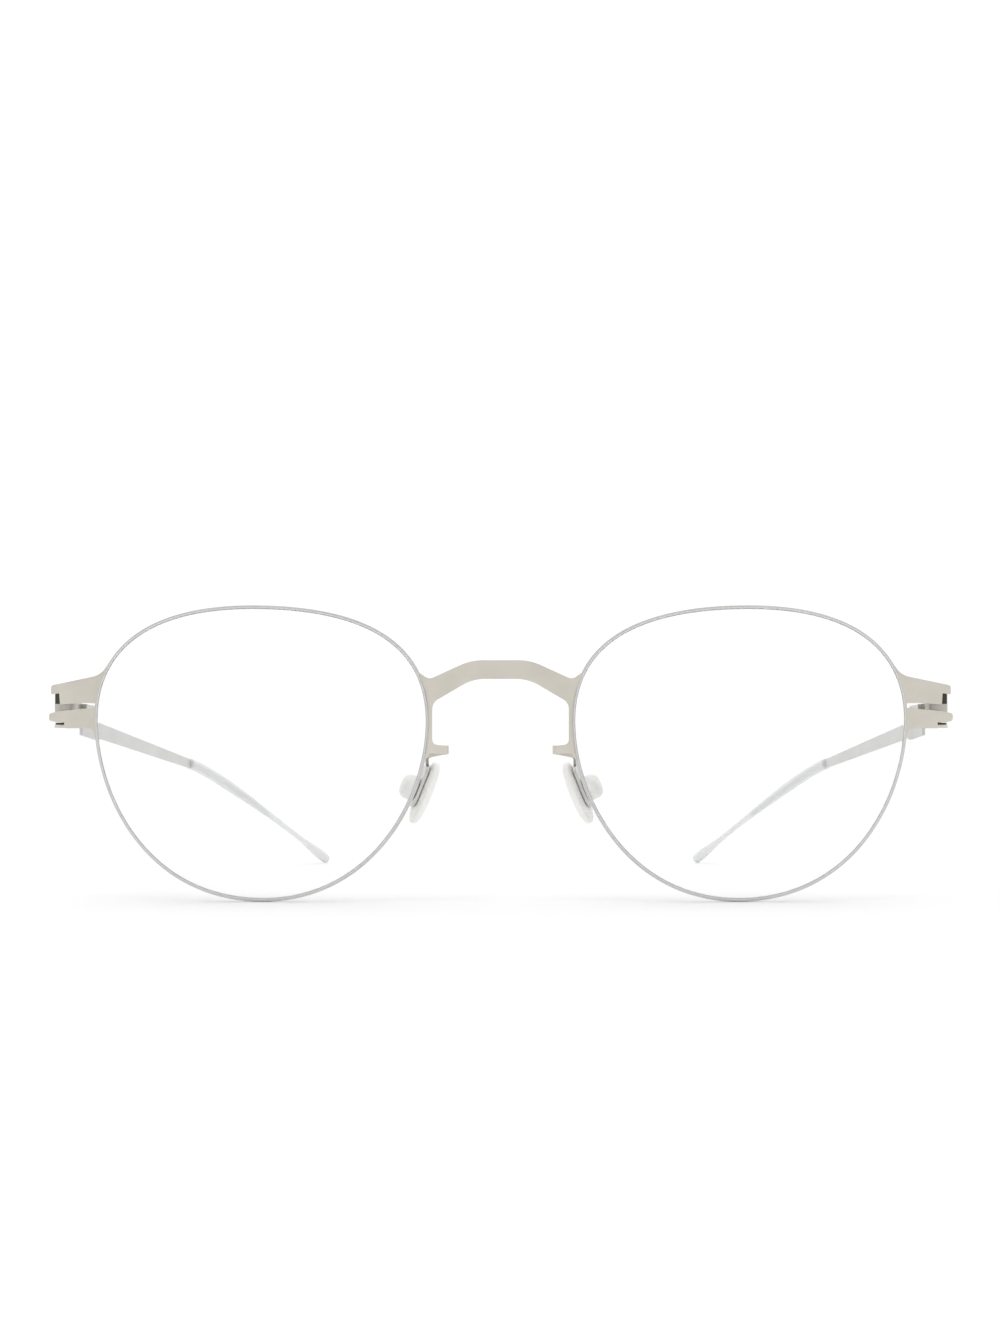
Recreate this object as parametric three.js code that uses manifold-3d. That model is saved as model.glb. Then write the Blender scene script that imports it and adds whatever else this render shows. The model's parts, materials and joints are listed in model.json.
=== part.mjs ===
// Round sheet-steel eyeglasses, standing open on a table, in millimetres with +Z up.
// The front faces -Y and the temples run back along +Y. Everything is shaped with the bridge at Y 0,
// and moved at the end so that the origin is on the table, at the middle of the bounding box.
// The wearer's left is +X. Every sided piece is built for +X and mirrored for -X.
import * as THREE from 'three';
import { mergeVertices } from 'three/addons/utils/BufferGeometryUtils.js';
import Module from 'manifold-3d';

const wasm = await Module();
wasm.setup();

// Driving dimensions: the sheet and the face form of the front.
const SHEET = 0.5;
const FLAT_HALF_WIDTH = 6;
const WRAP_RADIUS = 420;
const FIT_GAP = 0.12;

// The rim's centre line: its four extreme points, and the lengths of the handles beside them.
const RIM_WIDTH = 0.5;
const RIM_STEPS = 24;
const NASAL = new THREE.Vector2(10.72, 26.8);
const TOP = new THREE.Vector2(36.9, 43.7);
const TEMPORAL = new THREE.Vector2(60.3, 27.1);
const BOTTOM = new THREE.Vector2(35.3, RIM_WIDTH / 2);
const NASAL_HANDLES = { up: 13.1, down: 11.7 };
const TOP_HANDLES = { inner: 14.1, outer: 18.9 };
const TEMPORAL_HANDLES = { up: 7.6, down: 11.4 };
const BOTTOM_HANDLES = { inner: 16.2, outer: 17.4 };

// The lenses.
const LENS_THICKNESS = 1.6;
const LENS_BULGE = 2;
const LENS_RING_SCALES = [0.06, 0.35, 0.65, 0.88];

// The bridge and the nasal strips.
const BRIDGE_TOP = 35.8;
const BRIDGE_UNDERSIDE = 33;
const STRIP_EDGE = 10.1;

// The pad arms and the nose pads.
const PAD_ARM_HEIGHT = 1.25;
const PAD_ARM_REACH = 7.93;
const PAD_ARM_END = 11.05;
const PAD_ARM_RISE = 22.55;
const PAD_ARM_DROP = 2.6;
const PAD_TILT = THREE.MathUtils.degToRad(22.5);
const PAD_SPLAY = THREE.MathUtils.degToRad(14);
const PAD_CENTRE = new THREE.Vector3(12.3, 6.3, 17);
const PAD_PLATE = { width: 3.6, length: 6.6, hole: 0.95, drop: 0.6 };
const PAD_SIZE = { long: 9.8, wide: 6.6, thick: 1.6 };
const PAD_DROP = 0.6;
const PAD_SQUARENESS = 4;
const PAD_NECK_RADIUS = 0.8;
const PAD_BUTTON = { radius: 1.9, thick: 2.3 };

// The hinge: the pivot line stands upright behind the end arms.
const PIVOT_X = 65;
const FRONT_GAP = 0.15;
const ROLL_BOTTOM = 26.6;
const ROLL_TOP = 31.15;
const ROLL_LINE_RADIUS = 1.55;
const ROLL_PITCH = 0.62;
const ROLL_TURNS = 1.1;
const ROLL_STEPS = 32;
const ROLL_WINDOW = { inner: -0.3, outer: 1.9, bottom: 29.3, top: 31 };
const TAB_RADIUS = 1.85;
const UPPER_TAB_GAP = 0.15;
const LOWER_TAB_GAP = 0.4;
const COLLAR_RADIUS = 1.7;
const COLLAR_THICKNESS = 0.3;
const PIN_RADIUS = 0.5;
const PIN_LENGTH = 1;
const LOWER_TAB_BOTTOM = ROLL_BOTTOM - LOWER_TAB_GAP - SHEET;

// The temples and their tips, measured along the temple from the pivot line.
const TEMPLE_TOE_IN = THREE.MathUtils.degToRad(8.5);
const METAL_END = 81.6;
const BAR_END = { top: 19.75, bottom: 18.25 };
const TIP_TURN = new THREE.Vector3(ROLL_LINE_RADIUS, 104, 16.7);
const TIP_END = new THREE.Vector3(-11.7, 132.4, 0.4);
const TIP_STEPS = 18;
const TIP_SIDES = 12;
const SLEEVE = { start: 0.88, neck: 0.45, slimFrom: 0.3, slimTo: 0.78 };
const BULB = { swelling: 0.4, share: 0.955, spread: 0.075 };
const CORE_SHARE = 0.62;
const CORE_THICKNESS = 0.3;
const CORE_ROOM = 0.16;

const FRONT_COLOUR = 0xcfcac0;
const TEMPLE_COLOUR = 0xc9c5bd;
const CLEAR_COLOUR = 0xe9eaeb;
const LENS_COLOUR = 0xf4f6f7;

// How far back the wrapped front lies at a distance x from its middle.
function wrapDepth(x) {
  const past = Math.max(Math.abs(x) - FLAT_HALF_WIDTH, 0);
  return past * past / (2 * WRAP_RADIUS);
}

const PIVOT_Y = wrapDepth(PIVOT_X) + SHEET / 2 + FRONT_GAP + ROLL_LINE_RADIUS + SHEET / 2;

// Solids and booleans.

function solidFrom(geometry) {
  const bare = geometry.clone();
  bare.deleteAttribute('normal');
  bare.deleteAttribute('uv');
  const merged = mergeVertices(bare, 1e-4);
  return new wasm.Manifold(new wasm.Mesh({
    numProp: 3,
    vertProperties: new Float32Array(merged.attributes.position.array),
    triVerts: new Uint32Array(merged.index.array),
  }));
}

function geometryFrom(solid) {
  const result = solid.getMesh();
  const geometry = new THREE.BufferGeometry();
  geometry.setAttribute('position', new THREE.BufferAttribute(new Float32Array(result.vertProperties), 3));
  geometry.setIndex(new THREE.BufferAttribute(new Uint32Array(result.triVerts), 1));
  return geometry;
}

function joined(...geometries) {
  return geometryFrom(geometries.map(solidFrom).reduce((sum, solid) => sum.add(solid)));
}

function cut(geometry, tool) {
  return geometryFrom(solidFrom(geometry).subtract(solidFrom(tool)));
}

function enclosedVolume(positions, indices) {
  let sum = 0;
  const corners = [new THREE.Vector3(), new THREE.Vector3(), new THREE.Vector3()];
  for (let i = 0; i < indices.length; i += 3) {
    corners.forEach((corner, k) => corner.fromArray(positions, 3 * indices[i + k]));
    sum += corners[0].dot(corners[1].clone().cross(corners[2])) / 6;
  }
  return sum;
}

function flipFaces(indices) {
  for (let i = 0; i < indices.length; i += 3) {
    [indices[i], indices[i + 1]] = [indices[i + 1], indices[i]];
  }
}

// A closed skin over rings of equal point count. The last ring joins the first if the loft loops;
// otherwise a fan closes each end.
function loft(rings, loops = false) {
  const count = rings[0].length;
  const positions = rings.flat().flatMap((point) => point.toArray());
  const indices = [];
  for (let ring = 0; ring < rings.length - (loops ? 0 : 1); ring += 1) {
    const following = (ring + 1) % rings.length * count;
    for (let side = 0; side < count; side += 1) {
      const here = ring * count + side;
      const next = ring * count + (side + 1) % count;
      const above = following + side;
      const aboveNext = following + (side + 1) % count;
      indices.push(here, next, above, next, aboveNext, above);
    }
  }
  for (const ring of loops ? [] : [0, rings.length - 1]) {
    const middle = new THREE.Vector3();
    rings[ring].forEach((point) => middle.add(point));
    middle.divideScalar(count);
    const hub = positions.length / 3;
    positions.push(...middle.toArray());
    for (let side = 0; side < count; side += 1) {
      const here = ring * count + side;
      const next = ring * count + (side + 1) % count;
      indices.push(...(ring === 0 ? [hub, next, here] : [hub, here, next]));
    }
  }
  if (enclosedVolume(positions, indices) < 0) {
    flipFaces(indices);
  }
  const geometry = new THREE.BufferGeometry();
  geometry.setAttribute('position', new THREE.Float32BufferAttribute(positions, 3));
  geometry.setIndex(indices);
  return geometry;
}

function mirrored(geometry) {
  const copy = geometry.index ? geometry.clone() : mergeVertices(geometry);
  const indices = Array.from(copy.index.array);
  copy.scale(-1, 1, 1);
  flipFaces(indices);
  copy.setIndex(indices);
  return copy;
}

// An outline in X and Z, cut from flat sheet that lies about y = 0.
function sheetPiece(outline) {
  const geometry = new THREE.ExtrudeGeometry(outline, { depth: SHEET, bevelEnabled: false, curveSegments: 6 });
  geometry.rotateX(Math.PI / 2);
  geometry.translate(0, SHEET / 2, 0);
  return geometry;
}

// Bends the flat front to its face form.
function wrapped(geometry) {
  const positions = geometry.attributes.position;
  for (let i = 0; i < positions.count; i += 1) {
    positions.setY(i, positions.getY(i) + wrapDepth(positions.getX(i)));
  }
  return geometry;
}

// The rim's outline and the lens.

function rimLine() {
  const quarter = (from, fromHandle, toHandle, to) => new THREE.CubicBezierCurve(
    from,
    from.clone().add(fromHandle),
    to.clone().add(toHandle),
    to,
  );
  const path = new THREE.CurvePath();
  const step = (x, y) => new THREE.Vector2(x, y);
  path.add(quarter(NASAL, step(0, NASAL_HANDLES.up), step(-TOP_HANDLES.inner, 0), TOP));
  path.add(quarter(TOP, step(TOP_HANDLES.outer, 0), step(0, TEMPORAL_HANDLES.up), TEMPORAL));
  path.add(quarter(TEMPORAL, step(0, -TEMPORAL_HANDLES.down), step(BOTTOM_HANDLES.outer, 0), BOTTOM));
  path.add(quarter(BOTTOM, step(-BOTTOM_HANDLES.inner, 0), step(0, -NASAL_HANDLES.down), NASAL));
  return path.curves.flatMap((curve) => curve.getSpacedPoints(RIM_STEPS).slice(0, -1));
}

// The rim line moved outwards by a distance, or inwards by a negative one.
function rimOffset(distance) {
  const line = rimLine();
  return line.map((point, i) => {
    const before = line[(i + line.length - 1) % line.length];
    const after = line[(i + 1) % line.length];
    const along = after.clone().sub(before).normalize();
    return new THREE.Vector2(point.x - along.y * distance, point.y + along.x * distance);
  });
}

function rim() {
  const face = (distance, depth) => rimOffset(distance).map((point) => new THREE.Vector3(point.x, depth, point.y));
  const edge = RIM_WIDTH / 2;
  return loft([
    face(edge, -SHEET / 2),
    face(edge, SHEET / 2),
    face(-edge, SHEET / 2),
    face(-edge, -SHEET / 2),
  ], true);
}

function lens() {
  const centre = new THREE.Vector2((NASAL.x + TEMPORAL.x) / 2, (TOP.y + BOTTOM.y) / 2);
  const half = LENS_THICKNESS / 2;
  const groove = SHEET / 2 + FIT_GAP;
  const lip = rimOffset(-0.02);
  const floor = rimOffset(-RIM_WIDTH / 2 - FIT_GAP);
  const ring = (outline, scale, offset) => outline.map((point) => {
    const spot = point.clone().sub(centre).multiplyScalar(scale).add(centre);
    return new THREE.Vector3(spot.x, wrapDepth(spot.x) + offset - LENS_BULGE * (1 - scale * scale), spot.y);
  });
  const face = (offset) => LENS_RING_SCALES.map((scale) => ring(lip, scale, offset));
  return loft([
    ...face(-half),
    ring(lip, 1, -half),
    ring(lip, 1, -groove),
    ring(floor, 1, -groove),
    ring(floor, 1, groove),
    ring(lip, 1, groove),
    ring(lip, 1, half),
    ...face(half).reverse(),
  ]);
}

// The front's flat outlines.

function bridgeHalf() {
  const outline = new THREE.Shape();
  outline.moveTo(0, BRIDGE_UNDERSIDE);
  outline.lineTo(0, BRIDGE_TOP);
  outline.lineTo(2.6, BRIDGE_TOP);
  outline.quadraticCurveTo(4.5, BRIDGE_TOP, 5.9, 35.1);
  outline.lineTo(9.8, 33.3);
  outline.quadraticCurveTo(10.9, 32.8, 11.65, 33.4);
  outline.lineTo(11.3, 31);
  outline.lineTo(NASAL.x + 0.2, 28);
  outline.lineTo(NASAL.x + 0.2, 24);
  outline.lineTo(11.35, 20.9);
  outline.quadraticCurveTo(10.75, 22.05, 9.6, 22.05);
  outline.lineTo(8.5, PAD_ARM_RISE - PAD_ARM_HEIGHT / 2);
  outline.lineTo(8.5, PAD_ARM_RISE + PAD_ARM_HEIGHT / 2);
  outline.lineTo(9.4, PAD_ARM_RISE + PAD_ARM_HEIGHT / 2 + 0.15);
  outline.quadraticCurveTo(STRIP_EDGE, 23.5, STRIP_EDGE, 24.3);
  outline.lineTo(STRIP_EDGE, 28.6);
  outline.quadraticCurveTo(STRIP_EDGE, 29.45, 9.3, 29.95);
  outline.lineTo(5.8, 32);
  outline.quadraticCurveTo(4.2, BRIDGE_UNDERSIDE, 2.2, BRIDGE_UNDERSIDE);
  return sheetPiece(outline);
}

function upperArm() {
  const outline = new THREE.Shape();
  outline.moveTo(60, 29.5);
  outline.lineTo(62.2, 29.45);
  outline.lineTo(65.75, 29.2);
  outline.lineTo(65.85, 30.9);
  outline.lineTo(67.1, 30.7);
  outline.lineTo(67.1, 31.65);
  outline.quadraticCurveTo(67.1, 32.05, 66.65, 32.15);
  outline.lineTo(61.2, 33.3);
  outline.quadraticCurveTo(59.8, 33.6, 58.2, 35.2);
  outline.lineTo(59.3, 33);
  return sheetPiece(outline);
}

function lowerArm() {
  const outline = new THREE.Shape();
  outline.moveTo(60.1, 28.35);
  outline.lineTo(65.6, 28.25);
  outline.lineTo(67, 27.95);
  outline.quadraticCurveTo(67.4, 27.85, 67.4, 27.5);
  outline.lineTo(67.4, 27.2);
  outline.quadraticCurveTo(67.35, 26.75, 66.8, 26.7);
  outline.lineTo(65.1, 26.6);
  outline.lineTo(65.1, LOWER_TAB_BOTTOM);
  outline.lineTo(62.9, LOWER_TAB_BOTTOM);
  outline.quadraticCurveTo(60.6, 25.7, 59.95, 24.4);
  return sheetPiece(outline);
}

// A flat plan outline, one sheet thick, with its lower face at a height.
function planPiece(outline, height, depth = SHEET) {
  const geometry = new THREE.ExtrudeGeometry(outline, { depth, bevelEnabled: false, curveSegments: 10 });
  geometry.translate(0, 0, height);
  return geometry;
}

// An upright round disc on the pivot line, with its lower face at a height.
function pivotDisc(radius, height, depth) {
  const circle = new THREE.Shape().absarc(PIVOT_X, PIVOT_Y, radius, 0, 2 * Math.PI);
  return planPiece(circle, height, depth);
}

// A tab that is folded back over one end of the roll.
function hingeTab(height, innerX, outerX) {
  const root = new THREE.Shape();
  root.moveTo(innerX, wrapDepth(innerX));
  root.lineTo(outerX, wrapDepth(outerX));
  root.lineTo(outerX, PIVOT_Y);
  root.lineTo(innerX, PIVOT_Y);
  return joined(planPiece(root, height), pivotDisc(TAB_RADIUS, height, SHEET));
}

// Each tab has a pin that reaches into the roll's bore, and the roll rides on the lower tab's collar.
function hingeTabs() {
  const upperBottom = ROLL_TOP + UPPER_TAB_GAP;
  const lowerTop = LOWER_TAB_BOTTOM + SHEET;
  const upperPin = pivotDisc(PIN_RADIUS, ROLL_TOP - PIN_LENGTH, PIN_LENGTH + UPPER_TAB_GAP + SHEET / 2);
  const lowerPin = pivotDisc(PIN_RADIUS, lowerTop - SHEET / 2, SHEET / 2 + LOWER_TAB_GAP + PIN_LENGTH);
  const collar = pivotDisc(COLLAR_RADIUS, lowerTop - SHEET / 2, SHEET / 2 + COLLAR_THICKNESS);
  return [
    joined(hingeTab(upperBottom, PIVOT_X - 1.3, PIVOT_X + 1.3), upperPin),
    joined(hingeTab(LOWER_TAB_BOTTOM, 62.9, 65.05), lowerPin, collar),
  ];
}

// The pad arm in plan: towards the nose, back, outwards behind the rim, and back into the plate.
function padArmPlan() {
  const plan = new THREE.Path();
  plan.moveTo(9, wrapDepth(9));
  plan.lineTo(PAD_ARM_REACH + 0.7, wrapDepth(9));
  plan.absarc(PAD_ARM_REACH + 0.7, wrapDepth(9) + 0.7, 0.7, -Math.PI / 2, -Math.PI, true);
  plan.lineTo(PAD_ARM_REACH, 3);
  plan.absarc(PAD_ARM_REACH + 0.7, 3, 0.7, Math.PI, Math.PI / 2, true);
  plan.lineTo(PAD_ARM_END - 0.7, 3.7);
  plan.absarc(PAD_ARM_END - 0.7, 4.4, 0.7, -Math.PI / 2, 0, false);
  plan.lineTo(PAD_ARM_END, PAD_CENTRE.y + 0.8);
  return plan;
}

function padArm() {
  const plan = padArmPlan();
  const steps = 30;
  const rings = [];
  for (let i = 0; i <= steps; i += 1) {
    const spot = plan.getPointAt(i / steps);
    const along = plan.getTangentAt(i / steps);
    const across = new THREE.Vector3(-along.y, along.x, 0).multiplyScalar(SHEET / 2);
    const middle = new THREE.Vector3(spot.x, spot.y, PAD_ARM_RISE - PAD_ARM_DROP * (i / steps) ** 3);
    const up = new THREE.Vector3(0, 0, PAD_ARM_HEIGHT / 2 * (1 - 0.35 * (i / steps) ** 2));
    rings.push([
      middle.clone().add(across).add(up),
      middle.clone().sub(across).add(up),
      middle.clone().sub(across).sub(up),
      middle.clone().add(across).sub(up),
    ]);
  }
  return loft(rings);
}

// Pads are built flat: x away from the nose, y back, z up. Then they are tilted, splayed and moved
// to their place.
function placedPad(geometry) {
  geometry.rotateY(-PAD_TILT);
  geometry.rotateZ(-PAD_SPLAY);
  geometry.translate(PAD_CENTRE.x, PAD_CENTRE.y, PAD_CENTRE.z);
  return geometry;
}

function standingOnX(geometry) {
  return geometry.applyMatrix4(new THREE.Matrix4().makeBasis(
    new THREE.Vector3(0, 1, 0),
    new THREE.Vector3(0, 0, 1),
    new THREE.Vector3(1, 0, 0),
  ));
}

function padPlate() {
  const { width, length, hole, drop } = PAD_PLATE;
  const outline = new THREE.Shape();
  outline.absarc(0, (length - width) / 2, width / 2, 0, Math.PI);
  outline.absarc(0, (width - length) / 2, width / 2, Math.PI, 2 * Math.PI);
  outline.holes.push(new THREE.Path().absarc(0, -drop, hole, 0, 2 * Math.PI));
  const plate = new THREE.ExtrudeGeometry(outline, { depth: SHEET, bevelEnabled: false, curveSegments: 10 });
  plate.translate(0, 0, -SHEET / 2);
  return placedPad(standingOnX(plate));
}

// A round cushion whose two faces are flatter than a ball's. Its thickness lies along x.
function flattenedBall() {
  const ball = new THREE.SphereGeometry(1, 24, 14);
  const positions = ball.attributes.position;
  const point = new THREE.Vector3();
  for (let i = 0; i < positions.count; i += 1) {
    point.fromBufferAttribute(positions, i);
    const outwards = Math.hypot(point.y, point.z);
    const power = Math.abs(point.x) ** PAD_SQUARENESS + outwards ** PAD_SQUARENESS;
    point.divideScalar(power ** (1 / PAD_SQUARENESS));
    positions.setXYZ(i, point.x, point.y, point.z);
  }
  return ball;
}

function nosePad() {
  const cushion = flattenedBall();
  cushion.scale(PAD_SIZE.thick / 2, PAD_SIZE.wide / 2, PAD_SIZE.long / 2);
  cushion.translate(-SHEET / 2 - FIT_GAP - PAD_SIZE.thick / 2, 0, -PAD_DROP);
  const seat = SHEET / 2 + FIT_GAP;
  const { radius, thick } = PAD_BUTTON;
  const profile = [
    [0, -seat - 1],
    [PAD_NECK_RADIUS, -seat - 1],
    [PAD_NECK_RADIUS, seat],
    [radius * 0.9, seat],
    [radius, seat + thick * 0.35],
    [radius * 0.75, seat + thick * 0.85],
    [0, seat + thick],
  ];
  const button = new THREE.LatheGeometry(profile.map(([r, h]) => new THREE.Vector2(r, h)), 20);
  button.rotateZ(-Math.PI / 2);
  button.translate(0, 0, -PAD_PLATE.drop);
  return placedPad(joined(cushion, button));
}

// The temple, in its own frame: x outwards, y back along the temple from the pivot line, z up.

// The rolled front end, with a window at the upper front that shows its hollow.
function roll() {
  const turn = (share, shift) => {
    const angle = -2 * Math.PI * ROLL_TURNS * share;
    const radius = ROLL_LINE_RADIUS - ROLL_PITCH * ROLL_TURNS * share + shift;
    return new THREE.Vector2(radius * Math.cos(angle), radius * Math.sin(angle));
  };
  const shares = Array.from({ length: ROLL_STEPS + 1 }, (_, i) => i / ROLL_STEPS);
  const outer = shares.map((share) => turn(share, SHEET / 2));
  const inner = shares.map((share) => turn(share, -SHEET / 2)).reverse();
  const strip = planPiece(new THREE.Shape([...outer, ...inner]), ROLL_BOTTOM, ROLL_TOP - ROLL_BOTTOM);
  const { inner: innerX, outer: outerX, bottom, top } = ROLL_WINDOW;
  const window = new THREE.BoxGeometry(outerX - innerX, 1.5, top - bottom);
  window.translate((innerX + outerX) / 2, -1.55, (bottom + top) / 2);
  return cut(strip, window);
}

function templeSheet() {
  const outline = new THREE.Shape();
  outline.moveTo(-0.05, ROLL_BOTTOM);
  outline.lineTo(3, ROLL_BOTTOM);
  outline.quadraticCurveTo(4.2, 25.7, 5.8, 25.6);
  outline.lineTo(13.2, 25.55);
  outline.lineTo(13.2, 24.5);
  outline.lineTo(20.8, 23.75);
  outline.quadraticCurveTo(21.6, 23.7, 22.6, 24.07);
  outline.lineTo(METAL_END, BAR_END.bottom);
  outline.lineTo(METAL_END, BAR_END.top);
  outline.lineTo(23.4, 26.38);
  outline.quadraticCurveTo(22.1, 26.5, 21.9, 27.8);
  outline.quadraticCurveTo(21.8, 28.95, 20.8, 29);
  outline.lineTo(13.2, 29.35);
  outline.lineTo(9, 29.6);
  outline.quadraticCurveTo(5.5, ROLL_TOP, 3, ROLL_TOP);
  outline.lineTo(-0.05, ROLL_TOP);
  const sheet = new THREE.ExtrudeGeometry(outline, { depth: SHEET, bevelEnabled: false, curveSegments: 6 });
  return standingOnX(sheet).translate(ROLL_LINE_RADIUS - SHEET / 2, 0, 0);
}

function stopTongue() {
  const tongue = new THREE.BoxGeometry(1.1, SHEET, 2);
  return tongue.translate(ROLL_LINE_RADIUS - 0.7, 12.8, 28.35);
}

// The centre line of the bent end, from the end of the flat bar to the end of the tip.
function bentLine() {
  const start = new THREE.Vector3(ROLL_LINE_RADIUS, METAL_END, (BAR_END.top + BAR_END.bottom) / 2);
  return new THREE.QuadraticBezierCurve3(start, TIP_TURN, TIP_END);
}

// Rings across the bent line, from one share of its length to another; outline gives each ring's points.
function bentRings(from, to, steps, outline) {
  const line = bentLine();
  return Array.from({ length: steps + 1 }, (_, i) => {
    const share = from + (to - from) * i / steps;
    const middle = line.getPointAt(share);
    const along = line.getTangentAt(share);
    const across = new THREE.Vector3(along.y, -along.x, 0).normalize();
    const up = across.clone().cross(along).normalize();
    return outline(share).map(([right, rise]) => middle.clone()
      .addScaledVector(across, right)
      .addScaledVector(up, rise));
  });
}

function corners(width, height) {
  return [[-width / 2, -height / 2], [width / 2, -height / 2], [width / 2, height / 2], [-width / 2, height / 2]];
}

// The core is ground thinner and slimmer than the bar, so that the sleeve covers it.
function coreSize(share) {
  return { width: CORE_THICKNESS, height: 0.95 - 0.75 * share };
}

function core() {
  const line = bentRings(0, CORE_SHARE, 8, (share) => corners(coreSize(share).width, coreSize(share).height));
  const insideBar = line[0].map((point) => point.clone().add(new THREE.Vector3(0, -0.5, 0.05)));
  return loft([insideBar, ...line]);
}

// The sleeve's half height: it slims to a neck past the ear, and swells to a bulb near its end.
function sleeveRadius(share) {
  const slimming = THREE.MathUtils.smoothstep(share, SLEEVE.slimFrom, SLEEVE.slimTo);
  const body = THREE.MathUtils.lerp(SLEEVE.start, SLEEVE.neck, slimming);
  return body + BULB.swelling * Math.exp(-(((share - BULB.share) / BULB.spread) ** 2));
}

function sleeve() {
  const oval = (share, shrink) => Array.from({ length: TIP_SIDES }, (_, i) => {
    const angle = 2 * Math.PI * i / TIP_SIDES;
    const radius = sleeveRadius(share) * shrink;
    return [radius * Math.cos(angle), radius * Math.sin(angle)];
  });
  const body = loft(bentRings(0.004, 1, TIP_STEPS, (share) => oval(share, share > 0.99 ? 0.55 : 1)));
  const bore = loft(bentRings(0, CORE_SHARE + 0.01, 8, (share) => corners(
    coreSize(share).width + CORE_ROOM,
    coreSize(share).height + CORE_ROOM,
  )));
  return cut(body, bore);
}

function placedTemple(geometry) {
  geometry.rotateZ(TEMPLE_TOE_IN);
  geometry.translate(PIVOT_X, PIVOT_Y, 0);
  return geometry;
}

// The whole object.

function finish(color, roughness, metalness) {
  return new THREE.MeshStandardMaterial({ color, roughness, metalness });
}

function sidedPair(name, geometry, colour, roughness, metalness) {
  const left = new THREE.Mesh(geometry, finish(colour, roughness, metalness));
  left.name = `${name}_left`;
  const right = new THREE.Mesh(mirrored(geometry), finish(colour, roughness, metalness));
  right.name = `${name}_right`;
  return [left, right];
}

function frontFrame() {
  const flatHalf = [rim(), bridgeHalf(), upperArm(), lowerArm()];
  const front = wrapped(joined(...flatHalf, ...flatHalf.map(mirrored)));
  const bentHalf = [...hingeTabs(), padArm(), padPlate()];
  return joined(front, ...bentHalf, ...bentHalf.map(mirrored));
}

const front = new THREE.Mesh(frontFrame(), finish(FRONT_COLOUR, 0.4, 0.9));
front.name = 'front_frame';

const eyeglasses = new THREE.Group();
eyeglasses.add(front);
eyeglasses.add(...sidedPair('lens', lens(), LENS_COLOUR, 0.05, 0));
eyeglasses.add(...sidedPair('nose_pad', nosePad(), CLEAR_COLOUR, 0.3, 0));
eyeglasses.add(...sidedPair(
  'temple',
  placedTemple(joined(roll(), templeSheet(), stopTongue(), core())),
  TEMPLE_COLOUR,
  0.4,
  0.9,
));
eyeglasses.add(...sidedPair('temple_tip', placedTemple(sleeve()), CLEAR_COLOUR, 0.3, 0));

const extent = new THREE.Box3().setFromObject(eyeglasses);
eyeglasses.children.forEach((piece) => piece.geometry.translate(0, -(extent.min.y + extent.max.y) / 2, 0));

export default eyeglasses;
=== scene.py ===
import json
import math
from bisect import bisect

import bmesh
import bpy
from mathutils import Matrix, Vector


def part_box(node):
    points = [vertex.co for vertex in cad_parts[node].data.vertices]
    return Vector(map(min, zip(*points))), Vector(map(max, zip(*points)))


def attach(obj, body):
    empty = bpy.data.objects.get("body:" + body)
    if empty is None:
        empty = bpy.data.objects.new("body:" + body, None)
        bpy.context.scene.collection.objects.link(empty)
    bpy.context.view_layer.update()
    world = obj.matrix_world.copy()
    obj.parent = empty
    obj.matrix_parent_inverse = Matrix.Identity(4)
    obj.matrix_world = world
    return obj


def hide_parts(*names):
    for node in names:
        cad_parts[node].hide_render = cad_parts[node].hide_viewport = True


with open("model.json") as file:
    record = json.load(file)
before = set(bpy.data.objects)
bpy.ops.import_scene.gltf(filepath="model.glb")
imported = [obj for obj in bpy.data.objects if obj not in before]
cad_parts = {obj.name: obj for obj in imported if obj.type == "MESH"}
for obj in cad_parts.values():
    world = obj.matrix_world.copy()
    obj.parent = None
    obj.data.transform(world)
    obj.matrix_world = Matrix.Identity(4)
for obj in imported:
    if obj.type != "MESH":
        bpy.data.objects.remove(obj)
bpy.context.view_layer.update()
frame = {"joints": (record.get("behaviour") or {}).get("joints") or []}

MM = 0.001
SIDES = {"left": 1, "right": -1}

# The sheet's thickness, and how far the lens's edge lies inside the rim's centre line.
SHEET = 0.5
LIP_SETBACK = 0.02

# Read from the frame: the lens, the bridge, the hinge line and the top of the temple's roll.
LENS_LOW, LENS_HIGH = (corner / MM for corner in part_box("lens_left"))
BRIDGE_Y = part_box("front_frame")[0].y / MM + SHEET / 2
HINGE = Vector(frame["joints"][0]["pos_m"]) / MM - Vector((0, BRIDGE_Y, 0))
ROLL_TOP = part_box("temple_left")[1].z / MM

# The sheet's rounded edge, the angle in degrees above which an edge is shaded sharp, and the way the
# front wraps back from its flat middle, bent in narrow steps.
EDGE_ROUND = 0.06
SHARP_ANGLE = 38
FLAT_HALF_WIDTH = 6
WRAP_RADIUS = 420
BEND_STEP = 1.5

# The rim's centre line: four extreme points, and the handles of the curves between them.
RIM_WIDTH = 0.5
RIM_STEPS = 72
NASAL = Vector((LENS_LOW.x - LIP_SETBACK, 26.8))
TOP = Vector((36.9, LENS_HIGH.z + LIP_SETBACK))
TEMPORAL = Vector((LENS_HIGH.x + LIP_SETBACK, 27.1))
BOTTOM = Vector((35.3, LENS_LOW.z - LIP_SETBACK))
NASAL_UP, TOP_IN, TOP_OUT, TEMPORAL_UP = 13.1, 14.1, 18.9, 7.6
TEMPORAL_DOWN, BOTTOM_OUT, BOTTOM_IN, NASAL_DOWN = 11.4, 17.4, 16.2, 11.7
LENS_CENTRE = Vector(((NASAL.x + TEMPORAL.x) / 2, (TOP.y + BOTTOM.y) / 2))

# Where the front is only rim: between two distances from the middle, and above and below its broad parts.
RIM_INNER, RIM_OUTER = 12, 58.5
STRIP_FOOT = 21
ARMS_FOOT, ARMS_HEAD = 24.2, 35

# The lens: half its thickness, how far its middle stands in front of its edge, and the gap round the rim.
LENS_HALF = 0.8
LENS_BULGE = 2
FIT_GAP = 0.12

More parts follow.
